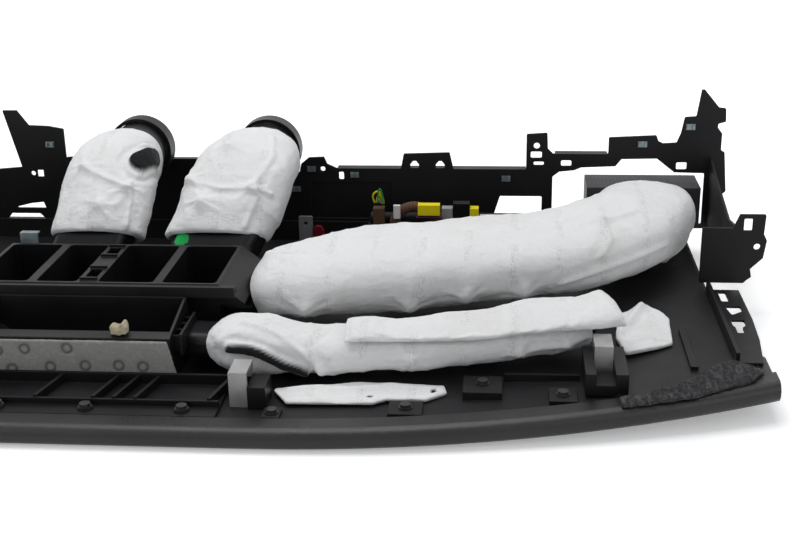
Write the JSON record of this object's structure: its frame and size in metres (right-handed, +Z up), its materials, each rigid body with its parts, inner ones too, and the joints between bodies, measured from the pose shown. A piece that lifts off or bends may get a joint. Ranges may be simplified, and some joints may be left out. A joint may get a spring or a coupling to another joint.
{
  "type": "car dashboard upper assembly",
  "caption": "Upper dashboard of a car lying on its padded top, with its slotted face frame, open air manifold, ducts in white fleece, defroster trough and wiring.",
  "frame": {"origin": "on the floor under the middle of the crowned top, midway along the car's width", "axes": "+X along the car's width to the passenger's end, +Y from the windscreen lip to the cabin face, +Z up from the floor it lies on"},
  "size_m": [1.532, 0.624, 0.232],
  "materials": {
    "skin_vinyl": "soft grained black skin, slight sheen",
    "carrier_black": "moulded dark grey plastic, satin, scuffed",
    "frame_grey": "moulded dark grey plastic, satin",
    "trim_black": "black plastic, satin",
    "manifold_plastic": "black plastic, dusty",
    "trough_plastic": "black plastic, dusty",
    "nozzle_plastic": "black plastic",
    "grey_felt": "pressed grey felt with weld rings",
    "dark_felt": "fuzzy black felt",
    "duct_black": "blow-moulded black plastic",
    "white_fleece": "soft white fleece, quilted",
    "vent_grey": "grey plastic",
    "panel_grey": "dark grey plastic, satin",
    "bracket_steel": "dull coated steel with rust at its rim",
    "strap_steel": "zinc-plated steel, slightly rough",
    "beige_foam": "torn foam",
    "screw_steel": "zinc-plated steel",
    "clip_steel": "spring steel",
    "tag_grey": "light grey plastic",
    "red_plastic": "red plastic",
    "tape_black": "black harness tape",
    "tape_brown": "brown cloth tape",
    "yellow_plastic": "yellow plastic",
    "white_plastic": "white plastic",
    "brown_plastic": "brown plastic",
    "grey_plastic": "light grey plastic"
  },
  "bodies": {
    "root": {"dash_skin": "skin_vinyl", "dash_carrier": "carrier_black", "front_frame": "frame_grey", "cluster_frame": "frame_grey", "cluster_bezel": "trim_black", "vent_manifold": "manifold_plastic", "defroster_manifold": "trough_plastic", "defroster_nozzle": "nozzle_plastic", "felt_manifold": "grey_felt", "centre_duct_left": "duct_black", "centre_duct_right": "duct_black", "outlet_collar_left": "trim_black", "outlet_collar_right": "trim_black", "centre_pad_left": "white_fleece", "centre_pad_right": "white_fleece", "passenger_duct": "duct_black", "passenger_pad": "white_fleece", "driver_duct": "duct_black", "driver_pad": "white_fleece", "side_defroster_duct": "duct_black", "defroster_pad": "white_fleece", "passenger_vent_mouth": "vent_grey", "driver_vent_mouth": "vent_grey", "flap_lower": "white_fleece", "flap_right": "white_fleece", "strip_pad": "white_fleece", "felt_corner": "dark_felt", "side_panel_right": "panel_grey", "side_panel_left": "panel_grey", "end_bracket_right": "bracket_steel", "end_bracket_left": "bracket_steel", "airbag_strap_left": "strap_steel", "airbag_strap_right": "strap_steel", "strap_block_left": "trim_black", "strap_block_right": "trim_black", "foam_plug": "beige_foam", "panel_screws": "screw_steel", "spring_clips": "clip_steel", "hinge_tag": "tag_grey", "red_lever": "red_plastic", "rear_clip": "clip_steel", "harness_tray": "trim_black", "harness_trunk": "tape_black", "taped_arch": "tape_brown", "yellow_connector": "yellow_plastic", "white_clip": "white_plastic", "brown_connector": "brown_plastic", "grey_plug": "grey_plastic", "black_connector": "trim_black", "small_connector": "yellow_plastic", "module_strip": "white_plastic"}
  },
  "joints": []
}
